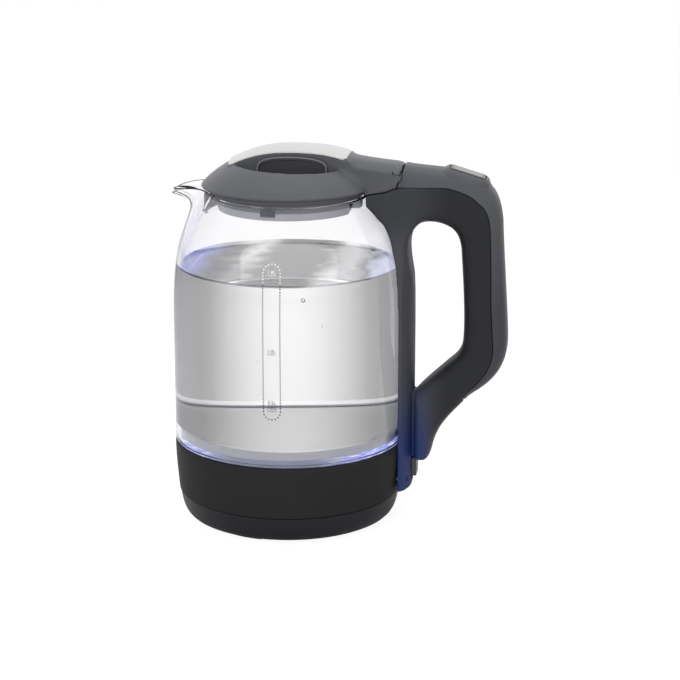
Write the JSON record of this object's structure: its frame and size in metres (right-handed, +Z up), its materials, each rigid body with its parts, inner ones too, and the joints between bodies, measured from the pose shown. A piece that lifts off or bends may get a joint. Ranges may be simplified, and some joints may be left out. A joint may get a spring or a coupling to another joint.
{
  "type": "electric kettle",
  "caption": "Cordless glass kettle: round clear jug on a dark base shroud, hinged domed lid with a spout, and a tall side handle with a lid button and a rocker switch.",
  "frame": {"origin": "on the jug axis, at the mouth of the power socket, level with the underside of the feet", "axes": "+Z up along the jug axis, +X from the jug axis towards the handle, so the spout points to -X"},
  "size_m": [0.2155, 0.1486, 0.2434],
  "materials": {
    "glass": "clear borosilicate, polished",
    "silicone": "matt silicone",
    "plate_steel": "satin stainless steel",
    "aluminium": "as cast",
    "brass": "stamped and plated",
    "light_guide": "frosted clear plastic",
    "circuit_board": "coated board",
    "led_lens": "clear moulded lens",
    "wire": "sleeved wire",
    "inner_plastic": "moulded, unpolished",
    "socket_plastic": "moulded, fine texture",
    "shroud_plastic": "moulded, satin",
    "base_plastic": "moulded, satin",
    "foot_rubber": "soft, matt",
    "screw_steel": "zinc plated",
    "grip_plastic": "moulded, soft satin",
    "cover_plastic": "moulded, satin",
    "gloss_black": "glossy",
    "spring_steel": "drawn wire, bright",
    "lid_plastic": "moulded, satin",
    "trim_aluminium": "brushed along its length",
    "plug_plastic": "moulded, translucent grey",
    "clip_plastic": "moulded",
    "filter_plastic": "moulded",
    "mesh_nylon": "woven nylon mesh",
    "button_silver": "silver painted, satin"
  },
  "bodies": {
    "kettle": {"glass_jug": "glass", "jug_seal": "silicone", "heating_plate": "plate_steel", "heat_spreader": "aluminium", "heating_element": "plate_steel", "element_terminals": "brass", "clamp_ring": "plate_steel", "light_ring": "light_guide", "led_board": "circuit_board", "leds": "led_lens", "led_wires": "wire", "control_unit": "inner_plastic", "bimetal_discs": "brass", "power_socket": "socket_plastic", "socket_contacts": "brass", "base_shroud": "shroud_plastic", "bottom_cover": "base_plastic", "feet": "foot_rubber", "cover_screws": "screw_steel", "handle_spine": "grip_plastic", "steam_tube": "silicone", "spine_screws": "screw_steel", "handle_grip": "grip_plastic", "handle_cover": "cover_plastic", "grip_screws": "screw_steel", "button_bezel": "gloss_black", "button_spring": "spring_steel", "hinge_pin": "spring_steel", "hinge_springs": "spring_steel", "switch_bracket": "inner_plastic", "switch_pin": "spring_steel", "spout_filter_frame": "filter_plastic", "spout_filter_mesh": "mesh_nylon"},
    "lid": {"lid_shell": "lid_plastic", "lid_trim": "trim_aluminium", "lid_grip_pads": "gloss_black", "lid_flange": "inner_plastic", "lid_gasket": "silicone", "lid_plug": "plug_plastic", "lid_baffle": "plug_plastic", "lid_clips": "clip_plastic", "lid_catch": "inner_plastic"},
    "button": {"release_button": "button_silver"},
    "latch": {"latch_slider": "inner_plastic"},
    "switch": {"switch_lever": "gloss_black"}
  },
  "joints": [
    {"name": "lid_hinge", "type": "hinge", "parent": "kettle", "child": "lid", "pos_m": [0.0706, 0, 0.2304], "axis": [0, 1, 0], "range_deg": [0, 80]},
    {"name": "button_press", "type": "slide", "parent": "kettle", "child": "button", "axis": [-0.284, 0, -0.9588], "range_m": [0, 0.0025], "stiffness_N_per_m": 400, "deforming": ["button_spring"]},
    {"name": "latch_slide", "type": "slide", "parent": "kettle", "child": "latch", "axis": [1, 0, 0], "range_m": [0, 0.003]},
    {"name": "switch_rock", "type": "hinge", "parent": "kettle", "child": "switch", "pos_m": [0.0639, 0, 0.0345], "axis": [0, 1, 0], "range_deg": [0, 12]}
  ],
  "couplings": [
    {"joint": "latch_slide", "follows": "button_press", "ratio": 1.2}
  ]
}
